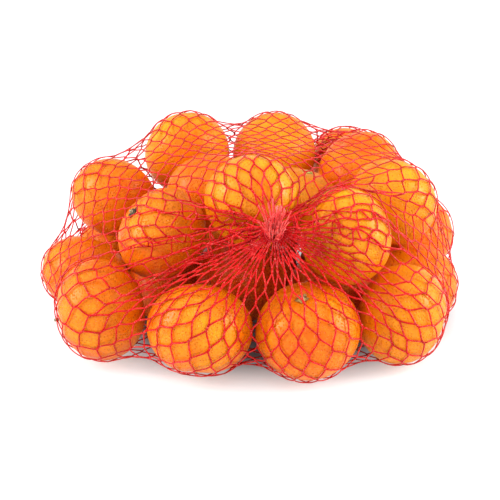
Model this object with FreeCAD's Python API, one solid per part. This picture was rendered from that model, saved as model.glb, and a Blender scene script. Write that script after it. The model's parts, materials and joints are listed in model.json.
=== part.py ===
"""Closed net bag of mandarins lying on its side.

Millimetres, +X to the bag's right, +Y from the front gather to the rear gather, +Z up.
The origin is on the floor, under the middle of the bag's bounding box.
"""
import FreeCAD, Part
import math
import os

Vector = FreeCAD.Vector
PARTS_FOLDER = "parts"
os.makedirs(PARTS_FOLDER, exist_ok=True)

# Fruit
ROUND_RADIUS = 25.5  # radius of a mandarin's rounded side
POLE_RADIUS = 4.5  # radius of the flat at each of its poles
FRUIT_GAP = 0.5  # room between neighbouring mandarins
DIMPLE_DEPTH = 1.8  # depth of the stem dimple
DIMPLE_SLOPE = 1.1  # how much narrower the dimple is at its floor
BUTTON_EDGE = 0.3  # room between the stem button and the dimple's wall
BUTTON_THICKNESS = 1.0
STUB_RADIUS = 1.3  # the stub of stalk on the button
STUB_HEIGHT = 0.6

# Net
NET_WALL = 1.0  # thickness of the closed skin that stands for the net
NET_EASE = 1.0  # room between the net and the fruit
NECK_RADIUS = 5.0  # the gathered net at each end
NECK_LENGTH = 12.5  # from the net's cone to the end of the neck
NECK_ROOT = 4.0  # how far the neck reaches back into the bag
CLIP_WIDTH = 3.5
CLIP_WALL = 0.9
CLIP_SETBACK = 0.5  # bare neck beyond the clip

# Tufts of cut net beyond the clips
TUFT_LENGTH = 12.0
TUFT_SPREAD = 7.5  # radius at the cut ends
TUFT_EDGE = 2.0  # length of the ragged edge
SWING_GAP = 0.4  # room between the neck's round end and the tuft
CUP_ANGLE = 48.0  # degrees of the neck's round end that the tuft covers

# Relaxation and surface grid
SETTLE_ROUNDS = 1500
SETTLE_TOLERANCE = 0.01
GRID_COLUMNS = 48
GRID_ROWS = 27
DRAPE_ROUNDS = 480
DRAPE_STEP = 1.5  # how far a point of the net may move in one round
DRAPE_GRIP = 0.12  # share of its step that a point keeps once it touches a fruit
NEIGHBOUR_ROUNDS = 12  # how often the list of nearby fruit is made anew
FIT_ROUNDS = 5
CLEAR_ROUNDS = 5
CLEAR_GAP = 0.7  # room that the skin keeps between its grid points too
CLEAR_SHARE = 0.6  # share of a lift that each of the four grid points round it takes
FLOOR_BITE = 0.5  # how far the skin dips under the plane that trims it flat
FLOOR_SNAP = 0.35  # skin this close to the floor lies on it

FRUIT_WIDTH = 2 * (ROUND_RADIUS + POLE_RADIUS)

# Each mandarin: its place in fruit widths, the way its stem points, and its size against the mean.
FRUIT = [
    # bottom layer, front row from left to right
    ((-1.46, -0.90, 0.46), (-0.98, -0.10, -0.20), 1.06),
    ((-0.48, -1.38, 0.44), (-0.10, -0.38, -0.92), 1.07),
    ((0.58, -1.38, 0.45), (-0.17, -0.34, 0.93), 1.06),
    ((1.46, -0.94, 0.47), (-0.90, 0.30, 0.20), 1.05),
    # bottom layer, left edge, right edge and the inside
    ((-1.74, 0.16, 0.56), (0.30, 0.40, 0.86), 0.97),
    ((1.72, -0.02, 0.46), (0.20, 0.70, -0.68), 1.00),
    ((-0.07, -0.35, 0.70), (0.50, 0.70, 0.50), 1.00),
    ((0.80, -0.38, 0.45), (0.10, 0.90, 0.40), 0.97),
    ((-1.00, 0.04, 0.45), (0.60, 0.70, -0.30), 0.96),
    ((-1.50, 1.20, 0.48), (-0.50, 0.60, 0.62), 1.00),
    ((-0.62, 1.16, 0.45), (0.20, -0.60, 0.77), 0.98),
    ((0.06, 0.56, 0.45), (0.00, 0.10, 0.99), 0.98),
    ((0.98, 0.52, 0.45), (0.50, -0.50, 0.70), 0.98),
    ((0.08, 1.60, 0.46), (-0.20, 0.90, 0.38), 1.00),
    ((1.08, 1.58, 0.46), (0.45, 0.80, -0.40), 1.01),
    ((1.84, 0.66, 0.82), (0.22, -0.82, 0.52), 0.99),
    # second layer, front row from left to right
    ((-0.95, -0.46, 1.17), (-0.73, -0.22, 0.65), 1.01),
    ((0.02, -0.75, 1.62), (0.20, 0.90, 0.38), 1.00),
    ((0.97, -1.02, 1.28), (0.80, 0.58, 0.15), 1.01),
    # second layer, behind them
    ((-1.58, 0.62, 1.34), (0.25, 0.75, 0.61), 0.98),
    ((-0.50, 0.22, 1.46), (-0.20, 0.60, 0.77), 0.98),
    ((0.56, 0.34, 1.36), (0.27, 0.06, 0.95), 1.00),
    ((1.52, 0.10, 1.42), (0.60, 0.60, 0.50), 1.00),
    # top and rear
    ((-0.74, 1.08, 1.74), (-0.30, 0.80, 0.52), 1.02),
    ((0.28, 1.26, 1.72), (0.10, 0.85, -0.52), 1.00),
    ((1.24, 0.90, 1.50), (0.60, 0.20, -0.77), 1.00),
    ((1.25, 1.74, 1.42), (0.43, -0.05, 0.90), 1.02),
]

# The two gathers, as places in fruit widths, and the way each neck points.
FRONT_GATHER = (0.22, -1.33, 1.53)
REAR_GATHER = (0.10, 2.10, 1.08)
FRONT_WAY = Vector(0, -1, 0)
REAR_WAY = Vector(0, 1, 0)
# Half lengths of the wide egg that the net is drawn in from, in fruit widths.
EGG = (3.1, 2.9, 1.9)
EGG_MIDDLE = (0.0, 0.25, 1.0)


class Mandarin:
    """A disc of radius `pole` swept by a ball of radius `round`: an oblate fruit with flat poles."""

    def __init__(self, place, stem, size):
        self.centre = Vector(*place) * FRUIT_WIDTH
        self.stem = Vector(*stem).normalize()
        self.round = ROUND_RADIUS * size
        self.pole = POLE_RADIUS * size

    def nearest_on_disc(self, point):
        offset = point - self.centre
        offset -= self.stem * offset.dot(self.stem)
        if offset.Length > self.pole:
            offset *= self.pole / offset.Length
        return self.centre + offset

    def lowest(self):
        level = math.sqrt(max(0.0, 1 - self.stem.z ** 2))
        return self.centre.z - self.round - self.pole * level

    def place(self, shape):
        """Turn a shape made round +Z at the origin to the stem, and move it to the fruit."""
        turn = FreeCAD.Rotation(Vector(0, 0, 1), self.stem)
        return shape.transformed(FreeCAD.Placement(self.centre, turn).toMatrix())


def nearest_points(one, other):
    """Closest points of two fruits' discs."""
    there = other.centre
    for _ in range(4):
        here = one.nearest_on_disc(there)
        there = other.nearest_on_disc(here)
    return here, there


def push_apart(one, other):
    """Part two fruits by half of what they lack each, and return what they lacked."""
    if (one.centre - other.centre).Length > 1.2 * FRUIT_WIDTH:
        return 0.0
    here, there = nearest_points(one, other)
    away = here - there
    lack = one.round + other.round + FRUIT_GAP - away.Length
    if lack <= 0:
        return 0.0
    away.normalize()
    one.centre += away * (lack / 2)
    other.centre -= away * (lack / 2)
    return lack


def settle(fruits):
    """Part the fruits and keep them above the net's floor."""
    floor = NET_WALL + NET_EASE
    for _ in range(SETTLE_ROUNDS):
        worst = 0.0
        for index, fruit in enumerate(fruits):
            for other in fruits[:index]:
                worst = max(worst, push_apart(fruit, other))
        for fruit in fruits:
            sink = floor - fruit.lowest()
            if sink > 0:
                fruit.centre.z += sink
                worst = max(worst, sink)
        if worst < SETTLE_TOLERANCE:
            return


def revolve(points_and_arcs):
    """Turn a closed outline in the XZ half plane about Z into a solid."""
    face = Part.Face(Part.Wire(points_and_arcs))
    return face.revolve(Vector(0, 0, 0), Vector(0, 0, 1), 360)


def line(start, end):
    return Part.LineSegment(Vector(start[0], 0, start[1]), Vector(end[0], 0, end[1])).toShape()


def arc(start, middle, end):
    points = [Vector(x, 0, z) for x, z in (start, middle, end)]
    return Part.Arc(*points).toShape()


def fruit_solid(fruit):
    """The peeled-over flesh: round side, flat foot, and a dimple at the stem."""
    top = fruit.round
    rim = fruit.pole
    floor_radius = rim - DIMPLE_SLOPE
    floor = top - DIMPLE_DEPTH
    outline = [
        line((0, floor), (floor_radius, floor)),
        line((floor_radius, floor), (rim, top)),
        arc((rim, top), (rim + fruit.round, 0), (rim, -top)),
        line((rim, -top), (0, -top)),
        line((0, -top), (0, floor)),
    ]
    return fruit.place(revolve(outline))


def button_solid(fruit):
    """The stem button in the dimple, with the stub of the stalk."""
    floor = fruit.round - DIMPLE_DEPTH
    radius = fruit.pole - DIMPLE_SLOPE - BUTTON_EDGE
    face = floor + BUTTON_THICKNESS
    tip = face + STUB_HEIGHT
    outline = [
        line((0, floor), (radius, floor)),
        line((radius, floor), (radius, face)),
        line((radius, face), (STUB_RADIUS, face)),
        line((STUB_RADIUS, face), (STUB_RADIUS, tip)),
        line((STUB_RADIUS, tip), (0, tip)),
        line((0, tip), (0, floor)),
    ]
    return fruit.place(revolve(outline))


def ring(gather, radius, column_count):
    """A level circle of points round the bag's long axis, at a gather."""
    points = []
    for column in range(column_count):
        turn = 2 * math.pi * column / column_count
        points.append(gather + Vector(math.cos(turn), 0, math.sin(turn)) * radius)
    return points


def egg_rows(front, rear):
    """The wide egg that the net is drawn in from, with its end rings at the gathers."""
    middle = Vector(*EGG_MIDDLE) * FRUIT_WIDTH
    half_x, half_y, half_z = [half * FRUIT_WIDTH for half in EGG]
    rows = [ring(front, NECK_RADIUS * 0.7, GRID_COLUMNS)]
    for row in range(1, GRID_ROWS - 1):
        along = math.pi * row / (GRID_ROWS - 1)
        points = []
        for column in range(GRID_COLUMNS):
            turn = 2 * math.pi * column / GRID_COLUMNS
            x = half_x * math.sin(along) * math.cos(turn)
            z = half_z * math.sin(along) * math.sin(turn)
            points.append(middle + Vector(x, -half_y * math.cos(along), z))
        rows.append(points)
    rows.append(ring(rear, NECK_RADIUS * 0.7, GRID_COLUMNS))
    return rows


def off_fruits(point, fruits, room):
    """The point itself, or the nearest one that has this much room from the fruits."""
    for fruit in fruits:
        disc_point = fruit.nearest_on_disc(point)
        away = point - disc_point
        reach = fruit.round + room
        if away.Length < reach:
            point = disc_point + away.normalize() * reach
    return point


def push_out(point, fruits):
    """Move a point of the net off the fruits and up to the net's floor, and say if it touches."""
    freed = off_fruits(point, fruits, NET_EASE)
    freed.z = max(freed.z, NET_WALL)
    return freed, freed != point


def near_fruits(rows, fruits):
    """For each point of the net, the fruits close enough to touch it soon."""
    reach = 0.6 * FRUIT_WIDTH + NET_EASE + DRAPE_STEP * NEIGHBOUR_ROUNDS
    return [
        [[f for f in fruits if (f.centre - point).Length < reach] for point in row]
        for row in rows
    ]


def drape(front, rear, fruits):
    """Shrink the net from the egg until it is taut over the fruits."""
    rows = egg_rows(front, rear)
    grip = [[1.0] * GRID_COLUMNS for _ in rows]
    for count in range(DRAPE_ROUNDS):
        if count % NEIGHBOUR_ROUNDS == 0:
            near = near_fruits(rows, fruits)
        for row in range(1, GRID_ROWS - 1):
            for column in range(GRID_COLUMNS):
                beside = rows[row][column - 1] + rows[row][(column + 1) % GRID_COLUMNS]
                along = rows[row - 1][column] + rows[row + 1][column]
                move = (beside + along) * 0.25 - rows[row][column]
                if move.Length > DRAPE_STEP:
                    move *= DRAPE_STEP / move.Length
                moved = rows[row][column] + move * grip[row][column]
                rows[row][column], touches = push_out(moved, near[row][column])
                grip[row][column] = DRAPE_GRIP if touches else 1.0
    return rows


def outward(rows, row, column):
    """Unit normal of the net at one point of the grid, pointing out of the bag."""
    across = rows[row][(column + 1) % GRID_COLUMNS] - rows[row][column - 1]
    along = rows[min(row + 1, GRID_ROWS - 1)][column] - rows[max(row - 1, 0)][column]
    return along.cross(across).normalize()


def on_floor(point):
    """Dip a point that lies on the net's floor below it, so that a plane trims it cleanly."""
    if point.z < NET_WALL + FLOOR_SNAP:
        return Vector(point.x, point.y, NET_WALL - FLOOR_BITE)
    return point


def inner_rows(rows):
    body = [[on_floor(point) for point in row] for row in rows[1:-1]]
    return [rows[0]] + body + [rows[-1]]


def outer_rows(rows):
    """The inner grid moved out by the wall, its floor included."""
    moved = [rows[0]]
    for row in range(1, GRID_ROWS - 1):
        points = []
        for column in range(GRID_COLUMNS):
            point = on_floor(rows[row][column])
            if point.z < NET_WALL:
                points.append(point - Vector(0, 0, NET_WALL))
            else:
                points.append(point + outward(rows, row, column) * NET_WALL)
        moved.append(points)
    return moved + [rows[-1]]


def surface_through(rows):
    """A smooth closed-round surface through a grid of points, and its places of most weight."""
    round_knots = [float(k) for k in range(GRID_COLUMNS + 1)]
    round_mults = [1] * (GRID_COLUMNS + 1)
    spans = len(rows) - 3
    long_knots = [float(k) for k in range(spans + 1)]
    long_mults = [4] + [1] * (spans - 1) + [4]
    flat_long = [0.0] * 4 + long_knots[1:-1] + [float(spans)] * 4
    at_long = [sum(flat_long[i + 1:i + 4]) / 3 for i in range(len(rows))]
    poles = [[Vector(point) for point in row] for row in rows]
    surface = Part.BSplineSurface()
    for _ in range(FIT_ROUNDS):
        columns = [[row[c] for row in poles] for c in range(GRID_COLUMNS)]
        surface.buildFromPolesMultsKnots(
            columns, round_mults, long_mults, round_knots, long_knots, True, False, 3, 3
        )
        shift = nearest_shift(surface, poles[len(poles) // 2])
        for row in range(1, len(rows) - 1):
            for column in range(GRID_COLUMNS):
                value = surface.value((column + shift) % GRID_COLUMNS, at_long[row])
                poles[row][column] += rows[row][column] - value
    return surface, at_long, shift


def clear_of_fruits(rows, fruits):
    """Lift a grid of points until the surface through it also clears the fruits between them."""
    near = near_fruits(rows, fruits)
    for _ in range(CLEAR_ROUNDS):
        surface, at_long, shift = surface_through(rows)
        for row in range(1, len(rows) - 2):
            long_place = (at_long[row] + at_long[row + 1]) / 2
            for column in range(GRID_COLUMNS):
                beside = (column + 1) % GRID_COLUMNS
                middle = surface.value((column + 0.5 + shift) % GRID_COLUMNS, long_place)
                lift = off_fruits(middle, near[row][column], CLEAR_GAP) - middle
                for corner_row in (row, row + 1):
                    rows[corner_row][column] += lift * CLEAR_SHARE
                    rows[corner_row][beside] += lift * CLEAR_SHARE
    return rows


def nearest_shift(surface, row):
    """Knots between a pole's number and the place on the round where it weighs most."""
    spans = len(surface.getVKnots()) - 1
    return min(
        range(-3, 4),
        key=lambda k: (surface.value(k % GRID_COLUMNS, spans / 2.0) - row[0]).Length,
    )


def skin_solid(rows):
    """The solid inside a grid of points, with flat ends."""
    side = surface_through(rows)[0].toShape()
    caps = []
    for edge in side.Edges:
        if edge.isClosed() and edge.Length < 3 * math.pi * NECK_RADIUS:
            caps.append(Part.Face(Part.Wire(edge)))
    shell = Part.makeShell([side] + caps)
    shell.sewShape()
    solid = Part.Solid(shell)
    if solid.Volume < 0:
        solid.reverse()
    return solid


def above(shape, level):
    """What is left of a shape over a level plane."""
    box = shape.BoundBox
    margin = 10
    keep = Part.makeBox(
        box.XLength + 2 * margin, box.YLength + 2 * margin, box.ZMax + margin - level,
        Vector(box.XMin - margin, box.YMin - margin, level),
    )
    return shape.common(keep)


def at_gather(shape, gather, way):
    """Turn a shape made round +Z at the origin to a neck's direction, and move it there."""
    turn = FreeCAD.Rotation(Vector(0, 0, 1), way)
    return shape.transformed(FreeCAD.Placement(gather, turn).toMatrix())


def neck_solid():
    """The gathered net: a stem with a round end."""
    end = NECK_LENGTH - NECK_RADIUS
    diagonal = NECK_RADIUS * math.sqrt(0.5)
    outline = [
        line((0, -NECK_ROOT), (NECK_RADIUS, -NECK_ROOT)),
        line((NECK_RADIUS, -NECK_ROOT), (NECK_RADIUS, end)),
        arc((NECK_RADIUS, end), (diagonal, end + diagonal), (0, NECK_LENGTH)),
        line((0, NECK_LENGTH), (0, -NECK_ROOT)),
    ]
    return revolve(outline)


def clip_solid():
    """The crimped ring round the neck."""
    bottom = NECK_LENGTH - NECK_RADIUS - CLIP_SETBACK - CLIP_WIDTH
    outer = Part.makeCylinder(NECK_RADIUS + CLIP_WALL, CLIP_WIDTH, Vector(0, 0, bottom))
    return outer.cut(Part.makeCylinder(NECK_RADIUS, CLIP_WIDTH, Vector(0, 0, bottom)))


def tuft_solid():
    """The cut ends of the net: a cup over the neck's round end that opens into a brush."""
    pivot = NECK_LENGTH - NECK_RADIUS
    cup = NECK_RADIUS + SWING_GAP
    rim_turn = math.radians(CUP_ANGLE)
    rim = (cup * math.sin(rim_turn), pivot + cup * math.cos(rim_turn))
    half = (cup * math.sin(rim_turn / 2), pivot + cup * math.cos(rim_turn / 2))
    top = pivot + cup
    end = top + TUFT_LENGTH
    outline = [
        arc((0, top), half, rim),
        line(rim, (TUFT_SPREAD, end - TUFT_EDGE)),
        line((TUFT_SPREAD, end - TUFT_EDGE), (TUFT_SPREAD - TUFT_EDGE, end)),
        line((TUFT_SPREAD - TUFT_EDGE, end), (0, end)),
        line((0, end), (0, top)),
    ]
    return revolve(outline)


def net_solid(rows, ends):
    """The net's skin with its two necks."""
    outer = above(skin_solid(outer_rows(rows)), 0)
    for gather, way in ends:
        outer = outer.fuse(at_gather(neck_solid(), gather, way))
    inner = above(skin_solid(inner_rows(rows)), NET_WALL)
    for gather, way in ends:
        inner = inner.cut(at_gather(neck_solid(), gather, way))
    return outer.cut(inner)


def build():
    fruits = [Mandarin(*row) for row in FRUIT]
    settle(fruits)
    front = Vector(*FRONT_GATHER) * FRUIT_WIDTH
    rear = Vector(*REAR_GATHER) * FRUIT_WIDTH
    ends = [(front, FRONT_WAY), (rear, REAR_WAY)]
    net_rows = clear_of_fruits(drape(front, rear, fruits), fruits)
    nodes = {"net_bag": net_solid(net_rows, ends)}
    for number, fruit in enumerate(fruits, 1):
        nodes["mandarin_%02d" % number] = fruit_solid(fruit)
        nodes["stem_button_%02d" % number] = button_solid(fruit)
    for side, (gather, way) in zip(("front", "rear"), ends):
        nodes[side + "_clip"] = at_gather(clip_solid(), gather, way)
        nodes[side + "_tuft"] = at_gather(tuft_solid(), gather, way)
    return nodes, ends


def to_origin(nodes):
    """The move that puts the origin on the floor under the middle of the bounding box."""
    box = FreeCAD.BoundBox()
    for shape in nodes.values():
        box.add(shape.optimalBoundingBox(False))
    return Vector(-box.Center.x, -box.Center.y, 0)


def main():
    nodes, ends = build()
    move = to_origin(nodes)
    for name, shape in nodes.items():
        shape.translate(move)
        solids = shape.Solids
        print(name, "valid", shape.isValid(), "solids", len(solids), "volume", round(shape.Volume))
        shape.exportStep("%s/%s.step" % (PARTS_FOLDER, name))
    for gather, way in ends:
        pivot = gather + way * (NECK_LENGTH - NECK_RADIUS) + move
        print("pivot", [round(value, 3) for value in pivot])


main()
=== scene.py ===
"""Looks of the closed net bag of mandarins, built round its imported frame. Metres throughout."""

import json
import math

import bpy
import numpy as np
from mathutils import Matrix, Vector, noise


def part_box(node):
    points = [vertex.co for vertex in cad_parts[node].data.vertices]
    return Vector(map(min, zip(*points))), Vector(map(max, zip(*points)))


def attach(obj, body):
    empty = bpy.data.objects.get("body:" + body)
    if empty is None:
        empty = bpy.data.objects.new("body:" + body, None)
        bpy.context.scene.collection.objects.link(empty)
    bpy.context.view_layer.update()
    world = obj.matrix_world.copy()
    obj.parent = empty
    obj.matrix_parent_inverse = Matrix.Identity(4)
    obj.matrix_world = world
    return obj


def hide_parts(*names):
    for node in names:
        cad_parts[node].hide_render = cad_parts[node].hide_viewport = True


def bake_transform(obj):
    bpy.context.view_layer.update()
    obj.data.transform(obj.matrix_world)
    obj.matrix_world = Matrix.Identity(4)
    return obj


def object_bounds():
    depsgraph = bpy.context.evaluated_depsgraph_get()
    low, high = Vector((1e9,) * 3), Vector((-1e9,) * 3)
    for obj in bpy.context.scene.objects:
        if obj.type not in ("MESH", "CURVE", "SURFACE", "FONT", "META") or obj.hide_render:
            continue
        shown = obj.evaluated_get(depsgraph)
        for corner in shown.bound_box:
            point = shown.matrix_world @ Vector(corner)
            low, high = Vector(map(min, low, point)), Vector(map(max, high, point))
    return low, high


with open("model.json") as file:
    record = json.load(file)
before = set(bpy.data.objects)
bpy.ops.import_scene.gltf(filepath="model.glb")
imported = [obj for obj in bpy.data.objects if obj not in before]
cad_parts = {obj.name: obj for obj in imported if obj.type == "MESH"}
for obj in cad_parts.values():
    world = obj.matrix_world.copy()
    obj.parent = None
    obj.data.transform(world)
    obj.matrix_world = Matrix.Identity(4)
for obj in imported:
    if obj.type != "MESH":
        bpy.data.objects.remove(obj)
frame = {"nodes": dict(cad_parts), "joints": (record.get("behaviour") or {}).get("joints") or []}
cad_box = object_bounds()

MM = 0.001
TURN = 2 * math.pi

# Camera: from in front and a little above
CAMERA_PLACE = (-1.6 * MM, -684 * MM, 266 * MM)
CAMERA_PITCH = math.radians(17.6)
CAMERA_LENS = 75.8

# Net
COLUMNS = 52  # diamonds round the bag
ROWS = 44  # half diamonds from gather to gather
GATHER_TO_JOINT = 7.5 * MM  # from the ring where the cone ends to the tuft's joint
GATHER_RADIUS = 3.8 * MM
STRAND_ROOM = 0.55 * MM  # from the peel to a strand's middle line
STRAND_WIDE = 0.56 * MM  # half of a strand's width
STRAND_THICK = 0.38 * MM
KNOT_WIDE = 0.85 * MM
KNOT_THICK = 0.50 * MM
KNOT_HALF = 1.3 * MM  # half of a knot's length
MESH_SIDE = 11.2 * MM  # side of a diamond between its knots' middles
HALF_ROW = 9.5 * MM  # mean length of half a diamond along the bag
STRAND_SIDES = 5
STRAND_SPANS = 5

rng = np.random.default_rng(7)


def unit(vectors):
    """Vectors scaled to length one, along the last axis."""
    length = np.linalg.norm(vectors, axis=-1, keepdims=True)
    return vectors / np.maximum(length, 1e-12)


# ---------------------------------------------------------------- frame

class Fruit:
    """One mandarin as the frame has it: its middle, its stem's way, and its half sizes."""

    def __init__(self, name):
        self.number = name.split("_")[-1]
        low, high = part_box(name)
        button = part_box("stem_button_" + self.number)
        self.centre = (np.array(low) + np.array(high)) / 2
        self.stem = unit((np.array(button[0]) + np.array(button[1])) / 2 - self.centre)
        mesh = frame["nodes"][name].data
        points = np.array([v.co for v in mesh.vertices]) - self.centre
        along = points @ self.stem
        across = np.linalg.norm(points - along[:, None] * self.stem, axis=1)
        self.half_height = -along.min()
        self.half_width = across.max()


def joint_place(name):
    """Where a joint turns, in metres."""
    for joint in frame["joints"]:
        if joint["name"] == name:
            return np.array(joint["pos_m"], float)
    raise ValueError(name)


fruits = [Fruit(name) for name in sorted(frame["nodes"]) if name.startswith("mandarin_")]
ENDS = {
    "front": (joint_place("front_tuft_swing"), np.array([0.0, -1.0, 0.0])),
    "rear": (joint_place("rear_tuft_swing"), np.array([0.0, 1.0, 0.0])),
}


# ---------------------------------------------------------------- mesh tools

def add_mesh(name, points, faces, materials):
    """A smooth mesh object from numpy points and a list of faces."""
    mesh = bpy.data.meshes.new(name)
    mesh.from_pydata([tuple(p) for p in points], [], faces)
    mesh.update()
    mesh.shade_smooth()
    piece = bpy.data.objects.new(name, mesh)
    bpy.context.scene.collection.objects.link(piece)
    for material in materials:
        mesh.materials.append(material)
    return piece


def tubes(paths, normals, wide, thick, sides=STRAND_SIDES):
    """Closed tubes along many paths at once. Returns points, and faces as lists of corners."""
    count, steps, _ = paths.shape
    along = unit(np.gradient(paths, axis=1))
    across = unit(np.cross(along, normals))
    up = np.cross(across, along)
    turn = TURN * np.arange(sides) / sides
    wide = np.broadcast_to(wide, (count, steps))[:, :, None, None]
    thick = np.broadcast_to(thick, (count, steps))[:, :, None, None]
    ring = across[:, :, None] * np.cos(turn)[None, None, :, None] * wide
    ring = ring + up[:, :, None] * np.sin(turn)[None, None, :, None] * thick
    points = (paths[:, :, None] + ring).reshape(-1, 3)
    start = (np.arange(count)[:, None] * steps + np.arange(steps - 1)[None]) * sides
    this = start[:, :, None] + np.arange(sides)
    beside = start[:, :, None] + (np.arange(sides) + 1) % sides
    quads = np.stack([this, beside, beside + sides, this + sides], -1).reshape(-1, 4)
    first = np.arange(count)[:, None] * steps * sides + np.arange(sides)[::-1]
    last = first[:, ::-1] + (steps - 1) * sides
    return points, quads.tolist() + first.tolist() + last.tolist()


def joined(parts):
    """Several (points, faces) as one."""
    points, faces, shift = [], [], 0
    for part_points, part_faces in parts:
        points.append(part_points)
        faces += [[corner + shift for corner in face] for face in part_faces]
        shift += len(part_points)
    return np.concatenate(points), faces


# ---------------------------------------------------------------- materials

class Shader:
    """A node material with a Principled shader and short calls for its textures."""

    def __init__(self, name, **values):
        self.material = bpy.data.materials.new(name)
        self.material.use_nodes = True
        self.nodes = self.material.node_tree.nodes
        self.links = self.material.node_tree.links
        self.bsdf = self.nodes["Principled BSDF"]
        self.place = self.nodes.new("ShaderNodeTexCoord").outputs["Object"]
        for key, value in values.items():
            self.bsdf.inputs[key.replace("_", " ")].default_value = value

    def noise(self, scale, detail=3.0, roughness=0.5):
        """A cloudy value about 0.5."""
        texture = self.nodes.new("ShaderNodeTexNoise")
        texture.inputs["Scale"].default_value = scale
        texture.inputs["Detail"].default_value = detail
        texture.inputs["Roughness"].default_value = roughness
        self.links.new(self.place, texture.inputs["Vector"])
        return texture.outputs["Fac"]

    def cells(self, scale, smoothness):
        """Distance to the nearest of many scattered points, smoothed."""
        texture = self.nodes.new("ShaderNodeTexVoronoi")
        texture.feature = "SMOOTH_F1"
        texture.inputs["Scale"].default_value = scale
        texture.inputs["Smoothness"].default_value = smoothness
        self.links.new(self.place, texture.inputs["Vector"])
        return texture.outputs["Distance"]

    def ramp(self, value, stops):
        """Colours by a value: stops are (place, colour)."""
        ramp = self.nodes.new("ShaderNodeValToRGB")
        elements = ramp.color_ramp.elements
        while len(elements) < len(stops):
            elements.new(0.5)
        for element, (place, colour) in zip(elements, stops):
            element.position = place
            element.color = (*colour, 1.0)
        self.links.new(value, ramp.inputs["Fac"])
        return ramp.outputs["Color"]

    def range(self, value, low, high, to_low, to_high):
        """A value spread from one range to another, and held at its ends."""
        spread = self.nodes.new("ShaderNodeMapRange")
        for key, number in zip(("From Min", "From Max", "To Min", "To Max"), (low, high, to_low, to_high)):
            spread.inputs[key].default_value = number
        self.links.new(value, spread.inputs["Value"])
        return spread.outputs["Result"]

    def mix(self, factor, first, second):
        """One colour over another, by a factor; each may be a socket or a constant."""
        mixer = self.nodes.new("ShaderNodeMix")
        mixer.data_type = "RGBA"
        for key, value in ((0, factor), (6, first), (7, second)):
            if isinstance(value, bpy.types.NodeSocket):
                self.links.new(value, mixer.inputs[key])
            elif key == 0:
                mixer.inputs[key].default_value = value
            else:
                mixer.inputs[key].default_value = (*value, 1.0)
        return mixer.outputs[2]

    def bump(self, height, distance, strength=1.0, under=None):
        """A normal bent by a height, on top of another bump if one is given."""
        bump = self.nodes.new("ShaderNodeBump")
        bump.inputs["Distance"].default_value = distance
        bump.inputs["Strength"].default_value = strength
        self.links.new(height, bump.inputs["Height"])
        if under is not None:
            self.links.new(under, bump.inputs["Normal"])
        return bump.outputs["Normal"]

    def set(self, key, socket):
        """Link a socket to one of the shader's inputs."""
        self.links.new(socket, self.bsdf.inputs[key])


ORANGE = [(0.78, 0.115, 0.001), (0.84, 0.190, 0.001), (0.86, 0.255, 0.002), (0.82, 0.330, 0.006)]
GOLD = [(0.82, 0.200, 0.001), (0.86, 0.280, 0.002), (0.88, 0.350, 0.008), (0.84, 0.420, 0.018)]
# darker, redder peel for the fruit inside the bag: painted shade
DEEP_PAINTED_SHADE = [(0.50, 0.040, 0.001), (0.58, 0.060, 0.001), (0.64, 0.085, 0.001), (0.66, 0.120, 0.002)]
GREENISH = [(0.70, 0.150, 0.001), (0.76, 0.230, 0.003), (0.66, 0.300, 0.006), (0.40, 0.300, 0.012)]

PALE_FLECK = (0.90, 0.33, 0.012)
PORE_SHADE = (0.66, 0.085, 0.001)


def peel_material(name, tints):
    """Waxy citrus peel: oil-gland pores and mottled colour, redder on some fruit than on others."""
    shader = Shader(name, Roughness=0.34, IOR=1.40, Specular_IOR_Level=0.30, Subsurface_Weight=0.08,
                    Subsurface_Scale=0.003)
    shader.bsdf.inputs["Subsurface Radius"].default_value = (1.0, 0.35, 0.08)
    blotch = shader.noise(34.0, 4.0, 0.55)
    mottle = shader.noise(260.0, 3.0, 0.6)
    pores = shader.cells(620.0, 0.4)
    body = shader.ramp(blotch, list(zip((0.28, 0.46, 0.60, 0.76), tints)))
    ripeness = shader.range(shader.noise(15.0, 1.0), 0.40, 0.62, 0.0, 0.55)
    body = shader.mix(ripeness, body, tints[0])
    fleck = shader.range(mottle, 0.48, 0.72, 0.0, 0.45)
    colour = shader.mix(fleck, body, PALE_FLECK)
    pore_shade = shader.range(pores, 0.0, 0.40, 0.48, 0.0)
    shader.set("Base Color", shader.mix(pore_shade, colour, PORE_SHADE))
    shader.set("Roughness", shader.range(mottle, 0.3, 0.7, 0.27, 0.42))
    lumps = shader.bump(shader.noise(120.0, 2.0), 0.6 * MM, 0.5)
    pits = shader.range(pores, 0.0, 0.45, 0.0, 1.0)
    shader.set("Normal", shader.bump(pits, 0.52 * MM, 1.0, lumps))
    return shader.material


# pale pink mixed into the strands' colour in specks: a painted glint
PAINTED_GLINT = (0.94, 0.24, 0.21)


def net_material(name, tints):
    """Red knitted polyethylene: shiny, slightly see-through, with paler specks of painted glint along its
    fibres.
    """
    shader = Shader(name, Roughness=0.34, IOR=1.48, Specular_IOR_Level=0.22, Subsurface_Weight=0.20,
                    Subsurface_Scale=0.001)
    shader.bsdf.inputs["Subsurface Radius"].default_value = (1.0, 0.12, 0.10)
    shade = shader.noise(90.0, 3.0, 0.6)
    fibres = shader.noise(950.0, 2.0, 0.6)
    colour = shader.ramp(shade, list(zip((0.36, 0.54, 0.72), tints)))
    # where the fibre noise is high, the strands take the painted glint
    painted_glint = shader.range(fibres, 0.58, 0.70, 0.0, 0.50)
    shader.set("Base Color", shader.mix(painted_glint, colour, PAINTED_GLINT))
    shader.set("Roughness", shader.range(fibres, 0.3, 0.7, 0.24, 0.42))
    shader.set("Normal", shader.bump(fibres, 0.22 * MM, 0.8))
    return shader.material


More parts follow.
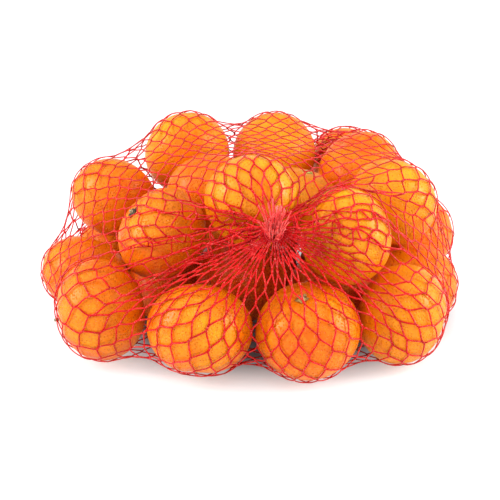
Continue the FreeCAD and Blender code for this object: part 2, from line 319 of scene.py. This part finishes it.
FRESH_GREEN = [(0.160, 0.170, 0.020), (0.340, 0.350, 0.045), (0.540, 0.540, 0.100), (0.740, 0.700, 0.280)]
DRY_GREEN = [(0.040, 0.026, 0.010), (0.120, 0.105, 0.024), (0.230, 0.220, 0.060), (0.420, 0.370, 0.180)]
DARK_BROWN = [(0.020, 0.012, 0.006), (0.055, 0.036, 0.014), (0.120, 0.085, 0.034), (0.260, 0.210, 0.110)]
PALE_WOOD = [(0.060, 0.040, 0.022), (0.230, 0.170, 0.080), (0.480, 0.400, 0.250), (0.700, 0.640, 0.460)]
STRAW = [(0.090, 0.045, 0.012), (0.340, 0.200, 0.050), (0.620, 0.440, 0.140), (0.850, 0.700, 0.320)]


def dry_material(name, tints, scale):
    """Dry plant matter, mottled and rough."""
    shader = Shader(name, Roughness=0.75)
    spots = shader.noise(scale, 4.0, 0.65)
    shader.set("Base Color", shader.ramp(spots, list(zip((0.34, 0.47, 0.58, 0.72), tints))))
    shader.set("Normal", shader.bump(spots, 0.4 * MM, 0.9))
    return shader.material


def clip_material():
    """Red moulded plastic with a drawn, slightly scuffed skin."""
    shader = Shader("clip_plastic", Roughness=0.3, IOR=1.48)
    scuff = shader.noise(800.0, 4.0, 0.6)
    shader.set("Base Color", shader.ramp(scuff, [
        (0.30, (0.50, 0.008, 0.016)),
        (0.65, (0.72, 0.020, 0.035)),
    ]))
    shader.set("Roughness", shader.range(scuff, 0.3, 0.7, 0.22, 0.42))
    shader.set("Normal", shader.bump(scuff, 0.1 * MM, 0.5))
    return shader.material


SHADE_MIDDLE = (0.01, 0.035, 0.0)  # middle of the floor's painted shadow, under the bag
SHADE_COLOUR = (0.17, 0.15, 0.145)
SHADE_RING = (0.102, 0.136)  # from the painted shadow's middle: where its dark colour ends
PAINTED_GLOW_RING = (0.106, 0.152)  # where the floor's painted glow grows, away from the bag
# strength of the painted glow: under the bag, and far from it
PAINTED_GLOW = (0.02, 0.62)


def floor_material():
    """Plain white paper sweep, with a painted glow that grows away from the bag and a painted shadow under
    it.
    """
    shader = Shader("white_floor", Roughness=0.9)
    shader.bsdf.inputs["Emission Color"].default_value = (1.0, 1.0, 1.0, 1.0)
    far = shader.nodes.new("ShaderNodeVectorMath")
    far.operation = "DISTANCE"
    far.inputs[1].default_value = SHADE_MIDDLE
    shader.links.new(shader.place, far.inputs[0])
    # the floor glows though it is no lamp: a painted glow, faint under the bag, that also lights the bag
    shader.set("Emission Strength", shader.range(far.outputs["Value"], *PAINTED_GLOW_RING, *PAINTED_GLOW))
    paper = shader.ramp(shader.noise(6.0, 2.0), [
        (0.0, (0.46, 0.49, 0.50)),
        (1.0, (0.48, 0.51, 0.52)),
    ])
    # darker paper under the bag: a painted shadow
    under = shader.range(far.outputs["Value"], *SHADE_RING, 1.0, 0.0)
    shader.set("Base Color", shader.mix(under, paper, SHADE_COLOUR))
    return shader.material


PEEL = peel_material("peel_orange", ORANGE)
GREEN_PEEL = peel_material("peel_greenish", GREENISH)
PAINTED_SHADE_PEEL = peel_material("peel_deep_painted_shade", DEEP_PAINTED_SHADE)
GOLD_PEEL = peel_material("peel_golden", GOLD)
NET = net_material("net_plastic", [(0.46, 0.001, 0.002), (0.62, 0.003, 0.004), (0.76, 0.018, 0.018)])
# a paler, pinker copy of the net's plastic for the cut ends: painted light on the tufts
NET_ENDS_PAINTED_LIGHT = net_material("net_plastic_ends_painted_light", [(0.70, 0.030, 0.030), (0.88, 0.120, 0.110), (0.95, 0.38, 0.33)])
CALYX = dry_material("calyx_dry_green", DRY_GREEN, 520.0)
FRESH_CALYX = dry_material("calyx_fresh_green", FRESH_GREEN, 520.0)
DARK_CALYX = dry_material("calyx_dark", DARK_BROWN, 520.0)
STRAW_CALYX = dry_material("calyx_straw", STRAW, 520.0)
STALK = dry_material("stalk_wood", PALE_WOOD, 800.0)
CLIP = clip_material()

# Fruit that stands out: its peel, its button, and how far its stub of stalk reaches
# fruit 07, 08, 09, 12 and 13 lie inside the bag and take the darker peel: painted shade
OTHER_PEELS = {"22": GREEN_PEEL, **dict.fromkeys(("07", "08", "09", "12", "13"), PAINTED_SHADE_PEEL),
               **dict.fromkeys(("04", "18", "19", "23", "24", "25", "27"), GOLD_PEEL)}
OTHER_CALYXES = {"03": STRAW_CALYX, **dict.fromkeys(("01", "02", "22"), FRESH_CALYX),
                 **dict.fromkeys(("16", "27", "17"), DARK_CALYX)}
LONG_STALKS = {"01": 4.6 * MM, "17": 2.2 * MM, "03": 1.2 * MM}


# ---------------------------------------------------------------- fruit

FRUIT_RINGS = 76
FRUIT_SECTORS = 120
SEGMENTS = 10
FOLDS = ((7, 0.30), (9, 0.24), (12, 0.14))  # folds that run out from the stem: how many, and how deep
FOLD_MIDDLE = 8 * MM  # from the stem's axis to where the folds are deepest
FOLD_SPREAD = 5 * MM
FOLD_HEIGHT, SEGMENT_HEIGHT = 0.45, 0.10  # millimetres
TOP_DIP = 3.2 * MM  # the peel's own lowest point under the button
FOOT_DIP = 1.6 * MM  # and at the blossom end
LUMP_SCALE, LUMP_HEIGHT = 38, 0.55  # waves per metre, and height in millimetres
RIPPLE_SCALE, RIPPLE_HEIGHT = 160, 0.10
PEEL_INSET = 0.25  # keeps the lumps from standing out of the fruit's outline


def stem_axes(fruit, spin):
    """Two directions square to the stem, turned by a spin."""
    helper = np.array([1.0, 0.0, 0.0]) if abs(fruit.stem[0]) < 0.8 else np.array([0.0, 1.0, 0.0])
    side = unit(np.cross(fruit.stem, helper))
    other = np.cross(fruit.stem, side)
    return side * math.cos(spin) + other * math.sin(spin), other * math.cos(spin) - side * math.sin(spin)


# depth and reach of each hollow in the peel, deepest on the stem's axis
STEM_HOLLOWS = ((2.3 * MM, 5.2 * MM), (0.7 * MM, 10.5 * MM))
FOOT_HOLLOW = (1.1 * MM, 5.5 * MM)


def hollow(across, depth, reach):
    """How deep the peel dips, by the distance from the stem's axis."""
    return depth * np.exp(-(across / reach) ** 2)


def fruit_surface(fruit, spin, seed):
    """Rings of points on a mandarin's peel, from the stem down, and the two points that close it."""
    tilt = np.linspace(0, math.pi, FRUIT_RINGS)[1:-1]
    turn = TURN * np.arange(FRUIT_SECTORS) / FRUIT_SECTORS
    flat = fruit.half_width - fruit.half_height
    sine, cosine = np.sin(tilt), np.cos(tilt)
    across = fruit.half_height * sine + flat * sine ** 0.6
    height = fruit.half_height * cosine
    upper = cosine > 0
    dimple = hollow(across, *STEM_HOLLOWS[0]) + hollow(across, *STEM_HOLLOWS[1])
    height = height - np.where(upper, dimple, 0)
    height = height + np.where(~upper, hollow(across, *FOOT_HOLLOW), 0)
    draws = np.random.default_rng(seed)
    folds = np.zeros((len(tilt), FRUIT_SECTORS))
    for count, size in FOLDS:
        folds += size * np.cos(count * turn + draws.uniform(0, TURN))[None]
    near_stem = np.where(upper, np.exp(-((across - FOLD_MIDDLE) / FOLD_SPREAD) ** 2), 0)[:, None]
    segments = np.cos(SEGMENTS * turn + draws.uniform(0, TURN))[None] * sine[:, None] ** 2
    inward = (FOLD_HEIGHT * folds * near_stem + SEGMENT_HEIGHT * (segments + 1.2)) * MM
    first, second = stem_axes(fruit, spin)
    level = np.cos(turn)[:, None] * first + np.sin(turn)[:, None] * second
    out = level[None] * sine[:, None, None] + fruit.stem * cosine[:, None, None]
    points = fruit.centre + level[None] * across[:, None, None] + fruit.stem * height[:, None, None]
    offset = Vector(draws.uniform(-9, 9, 3))
    flat_points = points.reshape(-1, 3)
    lumps = np.array([noise.noise(Vector(p) * LUMP_SCALE + offset) for p in flat_points])
    ripples = np.array([noise.noise(Vector(p) * RIPPLE_SCALE + offset) for p in flat_points])
    lumps = LUMP_HEIGHT * lumps + RIPPLE_HEIGHT * ripples - PEEL_INSET
    points = points + out * (lumps.reshape(points.shape[:2]) * MM - inward)[:, :, None]
    top = fruit.centre + fruit.stem * (fruit.half_height - TOP_DIP)
    foot = fruit.centre - fruit.stem * (fruit.half_height - FOOT_DIP)
    return points, top, foot


def grid_faces(rows, columns):
    """Quads between rings of points that close round."""
    row, column = np.meshgrid(np.arange(rows - 1), np.arange(columns), indexing="ij")
    beside = (column + 1) % columns
    corners = [row * columns + column, (row + 1) * columns + column,
               (row + 1) * columns + beside, row * columns + beside]
    return np.stack(corners, -1).reshape(-1, 4).tolist()


def make_fruit(fruit, spin, seed):
    """The peel of one mandarin, closed at its button and at its foot."""
    points, top, foot = fruit_surface(fruit, spin, seed)
    rows, columns, _ = points.shape
    faces = grid_faces(rows, columns)
    last = rows * columns
    for column in range(columns):
        beside = (column + 1) % columns
        faces.append([last, column, beside])
        faces.append([last + 1, (rows - 1) * columns + beside, (rows - 1) * columns + column])
    points = np.concatenate([points.reshape(-1, 3), [top, foot]])
    return add_mesh("peel_" + fruit.number, points, faces, [OTHER_PEELS.get(fruit.number, PEEL)])


CALYX_SECTORS = 60
LOBES = 5
STALK_RADII, STALK_REACHES = (1.0, 1.5), (0.4, 1.4)  # millimetres
LOBE_INNER, LOBE_REACH = 2.7, 1.5  # millimetres: between two lobes, and how much farther a lobe goes
CALYX_SEAT = 3.4 * MM  # from the fruit's outline down to the button's foot
STUB_FOOT = 1.5 * MM  # from there up to the foot of the stalk
CALYX_REACH = 4.2 * MM  # where the button's edge has risen by half a millimetre
# the button's upper side, its edge and its underside: share of its reach, and height in millimetres
BUTTON_RINGS = ((0.55, 1.15), (0.75, 1.2), (0.92, 1.35), (1.0, 1.3), (0.96, 0.9), (0.7, 0.3), (0.0, -0.4))
STUB_FACES = 3  # rings of faces that belong to the stalk


def make_calyx(fruit, spin, seed):
    """A five-lobed button with a stub of cut stalk, seated in the dimple."""
    draws = np.random.default_rng(seed)
    first, second = stem_axes(fruit, spin)
    turn = TURN * np.arange(CALYX_SECTORS) / CALYX_SECTORS
    level = np.cos(turn)[:, None] * first + np.sin(turn)[:, None] * second
    lobes = 0.5 + 0.5 * np.cos(LOBES * turn + draws.uniform(0, TURN))
    ragged = 0.25 * np.cos(11 * turn + draws.uniform(0, TURN)) + 0.2 * np.cos(17 * turn)
    edge = (LOBE_INNER + LOBE_REACH * lobes ** 0.8 + 0.4 * ragged) * MM
    stalk = draws.uniform(*STALK_RADII) * MM
    reach = LONG_STALKS.get(fruit.number, draws.uniform(*STALK_REACHES) * MM)
    base = fruit.half_height - CALYX_SEAT
    rings = []
    # stub of stalk, from its cut face down to the button
    for share, rise in ((0.0, reach), (0.75, reach), (0.97, reach - 0.15 * MM), (1.0, 0.5 * MM)):
        rings.append((stalk * share * (1 + 0.08 * ragged), rise + STUB_FOOT))
    for share, rise in BUTTON_RINGS:
        curl = 0.5 * (share * edge / CALYX_REACH) ** 2
        rings.append((np.maximum(edge * share, stalk * (0.99 if share else 0)), (rise + curl) * MM))
    points = np.concatenate([
        fruit.centre + fruit.stem * (base + rise + 0 * turn)[:, None] + level * (radius + 0 * turn)[:, None]
        for radius, rise in rings
    ])
    calyx = OTHER_CALYXES.get(fruit.number, CALYX)
    piece = add_mesh("calyx_" + fruit.number, points, grid_faces(len(rings), CALYX_SECTORS), [calyx, STALK])
    for face in piece.data.polygons:
        face.material_index = 1 if face.index < STUB_FACES * CALYX_SECTORS else 0
    return piece


# ---------------------------------------------------------------- net

def off_fruits(points, room, floor):
    """Points moved off the fruits and up to a floor, and which of them had to move."""
    points = points.copy()
    moved = points[:, 2] < floor
    for fruit in fruits:
        offset = points - fruit.centre
        reach = fruit.half_width + room
        near = np.nonzero(np.einsum("ij,ij->i", offset, offset) < reach * reach)[0]
        if not len(near):
            continue
        offset = offset[near]
        level = offset - (offset @ fruit.stem)[:, None] * fruit.stem
        flat = fruit.half_width - fruit.half_height
        size = np.linalg.norm(level, axis=1, keepdims=True)
        on_disc = level * np.minimum(1, flat / np.maximum(size, 1e-9))
        away = offset - on_disc
        gap = np.linalg.norm(away, axis=1)
        inside = gap < fruit.half_height + room
        hit = near[inside]
        points[hit] = fruit.centre + on_disc[inside] + unit(away[inside]) * (fruit.half_height + room)
        moved[hit] = True
    low = points[:, 2] < floor
    points[low, 2] = floor
    return points, moved


def gather_ring(end, row=0):
    """Where a row's strands enter the neck, in two layers."""
    place, way = ENDS[end]
    column = np.arange(COLUMNS)
    turn = TURN * (column + 0.5 * (row % 2)) / COLUMNS
    layer = np.where(column % 2 == 0, 1.0, 0.75)[:, None] * GATHER_RADIUS
    ring = np.stack([np.cos(turn), 0 * turn, np.sin(turn)], 1) * layer
    return place - way * GATHER_TO_JOINT + ring


IN_NECK = np.zeros((2, COLUMNS), int)  # rows of each column hidden in the front and the rear neck


def pinned_to_gathers(grid, hidden):
    """The grid with every knot that a neck hides put on its gather's ring."""
    for row in range(ROWS + 1):
        front, rear = row <= hidden[0], ROWS - row <= hidden[1]
        grid[row][front] = gather_ring("front", row)[front]
        grid[row][rear] = gather_ring("rear", row)[rear]
    return grid


def pinned(hidden):
    """Which knots a neck holds."""
    row = np.arange(ROWS + 1)[:, None]
    return (row <= hidden[0]) | (ROWS - row <= hidden[1])


EGG_LIFT = np.array([1, 1, 0.88])  # the egg's middle, as a share of the bag's middle
EGG_MARGIN = np.array([36, 42, 45]) * MM


def egg_start():
    """The wide egg that the net is drawn in from, as a grid of knots."""
    low, high = np.array(cad_box[0]), np.array(cad_box[1])
    middle = (low + high) / 2 * EGG_LIFT
    half = (high - low) / 2 + EGG_MARGIN
    grid = np.zeros((ROWS + 1, COLUMNS, 3))
    for row in range(ROWS + 1):
        along = math.pi * row / ROWS
        turn = TURN * (np.arange(COLUMNS) + 0.5 * (row % 2)) / COLUMNS
        level = math.sin(along)
        egg = np.stack([level * np.cos(turn), 0 * turn - math.cos(along), level * np.sin(turn)], 1)
        grid[row] = middle + egg * half
    return pinned_to_gathers(grid, IN_NECK)


def neighbour_mean(grid):
    """Mean of each knot's four neighbours in the diamond mesh."""
    before = grid + np.roll(grid, 1, axis=1)
    after = grid + np.roll(grid, -1, axis=1)
    mean = grid.copy()
    for row in range(1, ROWS):
        pairs = before if row % 2 == 0 else after
        mean[row] = (pairs[row - 1] + pairs[row + 1]) / 4
    return mean


DRAW_ROUNDS = 900
DRAW_STEP = 1.5 * MM
DRAW_GRIP = 0.12  # share of its step that a knot keeps once it touches something
FLOOR_ROOM = 0.5 * MM


def draw_in(grid):
    """Shrink the net from the egg until it is taut over the fruit."""
    held = pinned(IN_NECK)[:, :, None]
    grip = np.ones((ROWS + 1, COLUMNS, 1))
    for _ in range(DRAW_ROUNDS):
        move = neighbour_mean(grid) - grid
        length = np.linalg.norm(move, axis=2, keepdims=True)
        move *= np.minimum(1, DRAW_STEP / np.maximum(length, 1e-12)) * grip
        points, touched = off_fruits((grid + move).reshape(-1, 3), STRAND_ROOM, FLOOR_ROOM)
        grid = np.where(held, grid, points.reshape(grid.shape))
        grip = np.where(touched.reshape(ROWS + 1, COLUMNS, 1), DRAW_GRIP, 1.0)
    return grid


SIDE_CROWDING = 0.45  # how much closer the strands leave a gather at its sides
FOOT_SPREAD = 0.38  # how much wider they leave it at its foot than at its top
CROWDED_ROWS = (6, 18)  # rows from a gather over which the crowding fades


def even_rings(grid):
    """Spread each row's knots evenly round the bag, but closer at the sides of a gather than at its foot."""
    placed = grid.copy()
    top = COLUMNS // 4
    for row in range(1, ROWS):
        ring = np.roll(grid[row], -top, axis=0)
        odd = row % 2
        start = (ring[-1] + ring[0]) / 2 if odd else ring[0]
        loop = np.concatenate([[start], ring if odd else ring[1:], [start]])
        along = np.concatenate([[0], np.cumsum(np.linalg.norm(np.diff(loop, axis=0), axis=1))])
        share = (np.arange(COLUMNS) + 0.5 * odd) / COLUMNS
        fade = np.interp(min(row, ROWS - row), CROWDED_ROWS, (1, 0))
        shift = SIDE_CROWDING * np.sin(2 * TURN * share) / 2 - FOOT_SPREAD * np.sin(TURN * share)
        share = along[-1] * (share + fade * shift / TURN)
        even = np.stack([np.interp(share, along, loop[:, axis]) for axis in range(3)], 1)
        placed[row] = np.roll(even, top, axis=0)
    return placed


LENGTH_SMOOTHINGS = 8
FEWEST_ROWS = 8


def fewer_rows(grid):
    """Short ways over the bag take fewer diamonds: the spare ones are drawn into the necks."""
    lengths = np.linalg.norm(np.diff(grid[::2], axis=0), axis=2).sum(0)
    for _ in range(LENGTH_SMOOTHINGS):
        lengths = (np.roll(lengths, 1) + 2 * lengths + np.roll(lengths, -1)) / 4
    spare = np.clip(ROWS - np.round(lengths / HALF_ROW).astype(int), 0, ROWS - FEWEST_ROWS)
    hidden = np.stack([spare // 2, spare - spare // 2])
    placed = grid.copy()
    for column in range(COLUMNS):
        lines = [grid[parity::2, column] for parity in (0, 1)]
        for row in range(hidden[0][column] + 1, ROWS - hidden[1][column]):
            line = lines[row % 2]
            along = np.concatenate([[0], np.cumsum(np.linalg.norm(np.diff(line, axis=0), axis=1))])
            share = (row - hidden[0][column]) / (ROWS - hidden[0][column] - hidden[1][column])
            for axis in range(3):
                placed[row, column, axis] = np.interp(share * along[-1], along, line[:, axis])
    return pinned_to_gathers(placed, hidden), hidden


def mesh_edges():
    """Pairs of knots that a strand joins, as indices into the flattened grid."""
    pairs = []
    for row in range(ROWS):
        column = np.arange(COLUMNS)
        other = (column - 1) % COLUMNS if row % 2 == 0 else (column + 1) % COLUMNS
        here, there = row * COLUMNS + column, (row + 1) * COLUMNS
        pairs.append(np.stack([here, there + column], 1))
        pairs.append(np.stack([here, there + other], 1))
    return np.concatenate(pairs)


EDGES = mesh_edges()
EVEN_ROUNDS = 500
LENGTH_SPREAD = 0.09  # how much the strands' own lengths vary
STRETCH_PULL, SLACK_PUSH = 0.20, 0.10  # share of its error that a long and a short strand takes back
SMOOTHING = 0.06
EVEN_GRIP = 0.35  # share of its move that a knot keeps while it touches something


def even_out(grid, hidden):
    """Let the strands pull to their own length, so that the diamonds keep their size."""
    points = grid.reshape(-1, 3)
    fixed = pinned(hidden).reshape(-1)
    rest = MESH_SIDE * (1 + LENGTH_SPREAD * rng.standard_normal(len(EDGES)))
    first, second = EDGES[:, 0], EDGES[:, 1]
    touched = np.zeros(len(points), bool)
    for _ in range(EVEN_ROUNDS):
        span = points[second] - points[first]
        length = np.linalg.norm(span, axis=1)
        lack = length - rest
        pull = np.where(lack > 0, STRETCH_PULL, SLACK_PUSH) * lack / np.maximum(length, 1e-9)
        push = span * pull[:, None]
        move = np.zeros_like(points)
        for axis in range(3):
            move[:, axis] += np.bincount(first, push[:, axis], len(points))
            move[:, axis] -= np.bincount(second, push[:, axis], len(points))
        mean = neighbour_mean(points.reshape(grid.shape)).reshape(-1, 3)
        move += SMOOTHING * (mean - points)
        move *= np.where(touched, EVEN_GRIP, 1.0)[:, None]
        move[fixed] = 0
        moved, touched = off_fruits(points + move, STRAND_ROOM, FLOOR_ROOM)
        points = np.where(fixed[:, None], points, moved)
    return points.reshape(grid.shape)


def knot_frames(grid):
    """For each knot, the way along the bag and the way out of it."""
    along = np.zeros_like(grid)
    along[1:-1] = grid[2:] - grid[:-2]
    along[0] = ENDS["front"][1] * -1
    along[-1] = ENDS["rear"][1]
    across = np.roll(grid, -1, axis=1) - np.roll(grid, 1, axis=1)
    return unit(along).reshape(-1, 3), unit(np.cross(along, across)).reshape(-1, 3)


KNOT_TURN = 0.3  # how far a strand turns along the bag where it leaves a knot
KNOT_HOLD = 0.8  # share of a knot's half length at which its strands leave it
STRAND_BOW = 0.25 * MM  # how far strands bend out of true


def strand_paths(grid):
    """A smooth path for each strand, from knot to knot, laid over the fruit."""
    points = grid.reshape(-1, 3)
    along, out = knot_frames(grid)
    first, second = EDGES[:, 0], EDGES[:, 1]
    start = points[first] + along[first] * KNOT_HALF * KNOT_HOLD
    end = points[second] - along[second] * KNOT_HALF * KNOT_HOLD
    straight = end - start
    span = np.linalg.norm(straight, axis=1)[:, None]
    lead = straight * (1 - KNOT_TURN) + along[first] * span * KNOT_TURN
    trail = straight * (1 - KNOT_TURN) + along[second] * span * KNOT_TURN
    path, normal = [], []
    for t in np.linspace(0, 1, STRAND_SPANS + 1):
        a, b = 2 * t ** 3 - 3 * t ** 2 + 1, t ** 3 - 2 * t ** 2 + t
        c, d = -2 * t ** 3 + 3 * t ** 2, t ** 3 - t ** 2
        path.append(start * a + lead * b + end * c + trail * d)
        normal.append(out[first] * (1 - t) + out[second] * t)
    path, normal = np.stack(path, 1), unit(np.stack(normal, 1))
    bow = rng.standard_normal((len(path), 1, 1)) * STRAND_BOW
    shape = np.sin(math.pi * np.linspace(0, 1, STRAND_SPANS + 1))[None, :, None]
    side = unit(np.cross(path[:, -1:] - path[:, :1], normal))
    path = path + side * bow * shape
    flat, _ = off_fruits(path.reshape(-1, 3), STRAND_ROOM, FLOOR_ROOM)
    return flat.reshape(path.shape), normal


KNOT_STEPS = np.array([-1.25, -0.8, 0.0, 0.8, 1.25])
KNOT_SHARE = np.array([0.45, 0.85, 1.0, 0.85, 0.45])


def knot_paths(grid):
    """A short, thick path for each knot, along the bag."""
    points = grid.reshape(-1, 3)
    along, out = knot_frames(grid)
    path = points[:, None] + along[:, None] * (KNOT_STEPS * KNOT_HALF)[None, :, None]
    flat, _ = off_fruits(path.reshape(-1, 3), STRAND_ROOM, FLOOR_ROOM)
    return flat.reshape(path.shape), np.repeat(out[:, None], len(KNOT_STEPS), 1)


NECK_OUTER, NECK_INNER = 4.1, 3.0  # millimetres: the two layers of strands in a neck
NECK_STOP = 1.5 * MM  # how far behind the joint they are at their own radius
NECK_OVERLAP = 0.8 * MM  # how far they reach back into the cone
NECK_STRAND = (0.62 * MM, 0.50 * MM)


def neck_bundle(end):
    """The gathered strands, side by side from the cone through the clip."""
    place, way = ENDS[end]
    turn = TURN * np.arange(COLUMNS) / COLUMNS
    radius = np.where(np.arange(COLUMNS) % 2 == 0, NECK_OUTER, NECK_INNER) * MM
    level = np.stack([np.cos(turn), 0 * turn, np.sin(turn)], 1)
    paths = [gather_ring(end) - way * NECK_OVERLAP]
    for share in (0.25, 0.6, 1.0):
        paths.append(place + level * radius[:, None] - way * (GATHER_TO_JOINT - NECK_STOP) * (1 - share))
    paths = np.stack(paths, 1)
    normals = np.repeat(level[:, None], paths.shape[1], 1)
    return tubes(paths, normals, *NECK_STRAND)


def make_net():
    """The whole net, in a front and a rear half."""
    grid, hidden = fewer_rows(even_rings(draw_in(egg_start())))
    grid = even_out(grid, hidden)
    paths, normals = strand_paths(grid)
    knots, knot_normals = knot_paths(grid)
    held = pinned(hidden).reshape(-1)
    free_edge = ~(held[EDGES[:, 0]] & held[EDGES[:, 1]])
    edge_row = EDGES[:, 0] // COLUMNS
    knot_row = np.arange(len(knots)) // COLUMNS
    halves = []
    for end, in_edges, in_knots in (
        ("front", (edge_row < ROWS // 2) & free_edge, (knot_row <= ROWS // 2) & ~held),
        ("rear", (edge_row >= ROWS // 2) & free_edge, (knot_row > ROWS // 2) & ~held),
    ):
        parts = [
            tubes(paths[in_edges], normals[in_edges], STRAND_WIDE, STRAND_THICK),
            tubes(knots[in_knots], knot_normals[in_knots], KNOT_WIDE * KNOT_SHARE, KNOT_THICK * KNOT_SHARE),
            neck_bundle(end),
        ]
        points, faces = joined(parts)
        halves.append(add_mesh("net_" + end, points, faces, [NET]))
    return halves


# ---------------------------------------------------------------- tufts and clips

TUFT_STRANDS = 46
TUFT_SPANS = 9
GOLDEN_TURN = 2.399963  # spreads the strands evenly over the neck
TUFT_SEED = {"front": 31, "rear": 32}
TUFT_LEAN = {"front": 11.0 * MM, "rear": -4.0 * MM}
TUFT_RADIUS = 4.1 * MM
TUFT_FAN = 4.6 * MM  # how far its outermost strands spread
TUFT_RAGGED = 1.2  # millimetres
TUFT_LENGTHS = (6, 11.5)  # millimetres
TUFT_CURL = 3.4 * MM
TUFT_ROOT = 4.0 * MM  # how far it reaches back into the neck
TUFT_STRAND = (0.46 * MM, 0.36 * MM)


def make_tuft(end):
    """Cut strands beyond the clip, fanned out and curled."""
    place, way = ENDS[end]
    draws = np.random.default_rng(TUFT_SEED[end])
    number = np.arange(TUFT_STRANDS)
    turn = number * GOLDEN_TURN + draws.uniform(-0.2, 0.2, TUFT_STRANDS)
    root = TUFT_RADIUS * np.sqrt((number + 0.5) / TUFT_STRANDS)
    level = np.stack([np.cos(turn), 0 * turn, np.sin(turn)], 1)
    fan = TUFT_FAN * root / TUFT_RADIUS + draws.uniform(-TUFT_RAGGED, TUFT_RAGGED, TUFT_STRANDS) * MM
    length = draws.uniform(*TUFT_LENGTHS, TUFT_STRANDS) * MM
    curl = draws.uniform(-1, 1, (TUFT_STRANDS, 3)) * TUFT_CURL
    lean = np.array([0, 0, TUFT_LEAN[end]])
    path = []
    for t in np.linspace(0, 1, TUFT_SPANS + 1):
        reach = -TUFT_ROOT + (length + TUFT_ROOT) * t
        beyond = np.clip(reach / length, 0, 1)[:, None]
        radius = root[:, None] + fan[:, None] * beyond ** 1.4
        point = place + way * reach[:, None] + level * radius + curl * beyond ** 2
        path.append(point + lean * beyond ** 1.3)
    paths = np.stack(path, 1)
    normals = np.repeat(level[:, None], TUFT_SPANS + 1, 1)
    # the tuft's strands take the paler copy of the net's plastic: painted light
    return add_mesh("tuft_" + end, *tubes(paths, normals, *TUFT_STRAND), [NET_ENDS_PAINTED_LIGHT])


CLIP_STEPS, CLIP_SIDES = 96, 12
CLIP_RADIUS = 5.15 * MM
CLIP_LAP = 0.35 * MM  # how far its outer end lies over the inner one
CLIP_SETBACK = 2.25 * MM  # from the joint back to its middle
CLIP_WIDE, CLIP_END_WIDE, CLIP_THICK = 1.6 * MM, 1.2 * MM, 0.45 * MM


def make_clip(end):
    """A crimped flat ring of plastic with its two ends lapped."""
    place, way = ENDS[end]
    turn = np.linspace(-0.55, TURN + 0.25, CLIP_STEPS)
    radius = CLIP_RADIUS + CLIP_LAP * np.clip((turn - TURN + 0.6) / 0.6, 0, 1)
    level = np.stack([np.cos(turn), 0 * turn, np.sin(turn)], 1)
    path = place - way * CLIP_SETBACK + level * radius[:, None]
    wide = np.full((1, CLIP_STEPS), CLIP_WIDE)
    wide[0, :2] = wide[0, -2:] = CLIP_END_WIDE
    points, faces = tubes(path[None], level[None], wide, CLIP_THICK, CLIP_SIDES)
    return add_mesh("clip_" + end, points, faces, [CLIP])


# ---------------------------------------------------------------- build

for index, fruit in enumerate(fruits):
    spin = rng.uniform(0, TURN)
    peel = make_fruit(fruit, spin, 100 + index)
    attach(peel, "bag")
    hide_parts("mandarin_" + fruit.number)
    calyx = make_calyx(fruit, spin, 200 + index)
    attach(calyx, "bag")
    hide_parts("stem_button_" + fruit.number)

for piece in make_net():
    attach(piece, "bag")
    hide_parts("net_bag")

for end in ENDS:
    tuft = make_tuft(end)
    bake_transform(tuft)
    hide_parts(end + "_tuft")
    clip = make_clip(end)
    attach(clip, "bag")
    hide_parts(end + "_clip")


# ---------------------------------------------------------------- stage

SWEEP_SIDES = 64
SWEEP_START, SWEEP_BEND, SWEEP_HEIGHT = 3.0, 1.5, 3.5


def make_floor():
    """A round white sweep: flat under the bag, rising far away all round it."""
    bend = np.linspace(0, math.pi / 2, 10)
    far = SWEEP_START + SWEEP_BEND
    reach = np.concatenate([[0.3, 1.0, 2.0], SWEEP_START + SWEEP_BEND * np.sin(bend), [far]])
    rise = np.concatenate([[0, 0, 0], SWEEP_BEND - SWEEP_BEND * np.cos(bend), [SWEEP_HEIGHT]])
    turn = TURN * np.arange(SWEEP_SIDES) / SWEEP_SIDES
    points = [(r * math.cos(a), r * math.sin(a), z) for r, z in zip(reach, rise) for a in turn]
    faces = grid_faces(len(reach), SWEEP_SIDES) + [list(range(SWEEP_SIDES))]
    floor = add_mesh("white_floor", np.array(points), faces, [floor_material()])


LIT_POINT = (0, 0, 0.06)


def add_light(name, place, size, power):
    """A soft box that faces the middle of the bag."""
    data = bpy.data.lights.new(name, "AREA")
    data.shape = "RECTANGLE"
    data.size, data.size_y = size
    data.energy = power
    lamp = bpy.data.objects.new(name, data)
    lamp.location = place
    lamp.rotation_euler = (Vector(LIT_POINT) - Vector(place)).to_track_quat("-Z", "Y").to_euler()
    bpy.context.scene.collection.objects.link(lamp)


def add_sky_light():
    """Even, very soft light from above, the same over the whole floor."""
    data = bpy.data.lights.new("overhead", "SUN")
    data.energy = 1.8
    data.angle = math.radians(75)
    lamp = bpy.data.objects.new("overhead", data)
    lamp.rotation_euler = (math.radians(8), math.radians(-6), 0)
    bpy.context.scene.collection.objects.link(lamp)


def add_camera():
    """The camera, level with the horizon and pitched down."""
    data = bpy.data.cameras.new("camera")
    data.lens = CAMERA_LENS
    data.sensor_width = 36
    camera = bpy.data.objects.new("camera", data)
    camera.location = CAMERA_PLACE
    camera.rotation_euler = (math.pi / 2 - CAMERA_PITCH, 0, 0)
    bpy.context.scene.collection.objects.link(camera)
    bpy.context.scene.camera = camera


def set_world():
    """Faint white light from all round."""
    world = bpy.data.worlds.new("soft_white")
    bpy.context.scene.world = world
    world.use_nodes = True
    sky = world.node_tree.nodes["Background"]
    sky.inputs["Color"].default_value = (1.0, 1.0, 1.0, 1.0)
    sky.inputs["Strength"].default_value = 0.15


make_floor()
add_light("left_softbox", (-0.95, -0.25, 0.55), (0.42, 0.55), 9.0)
add_light("right_softbox", (0.95, -0.20, 0.50), (0.42, 0.55), 9.5)
add_sky_light()
add_camera()
set_world()
bpy.context.scene.view_settings.view_transform = "Standard"
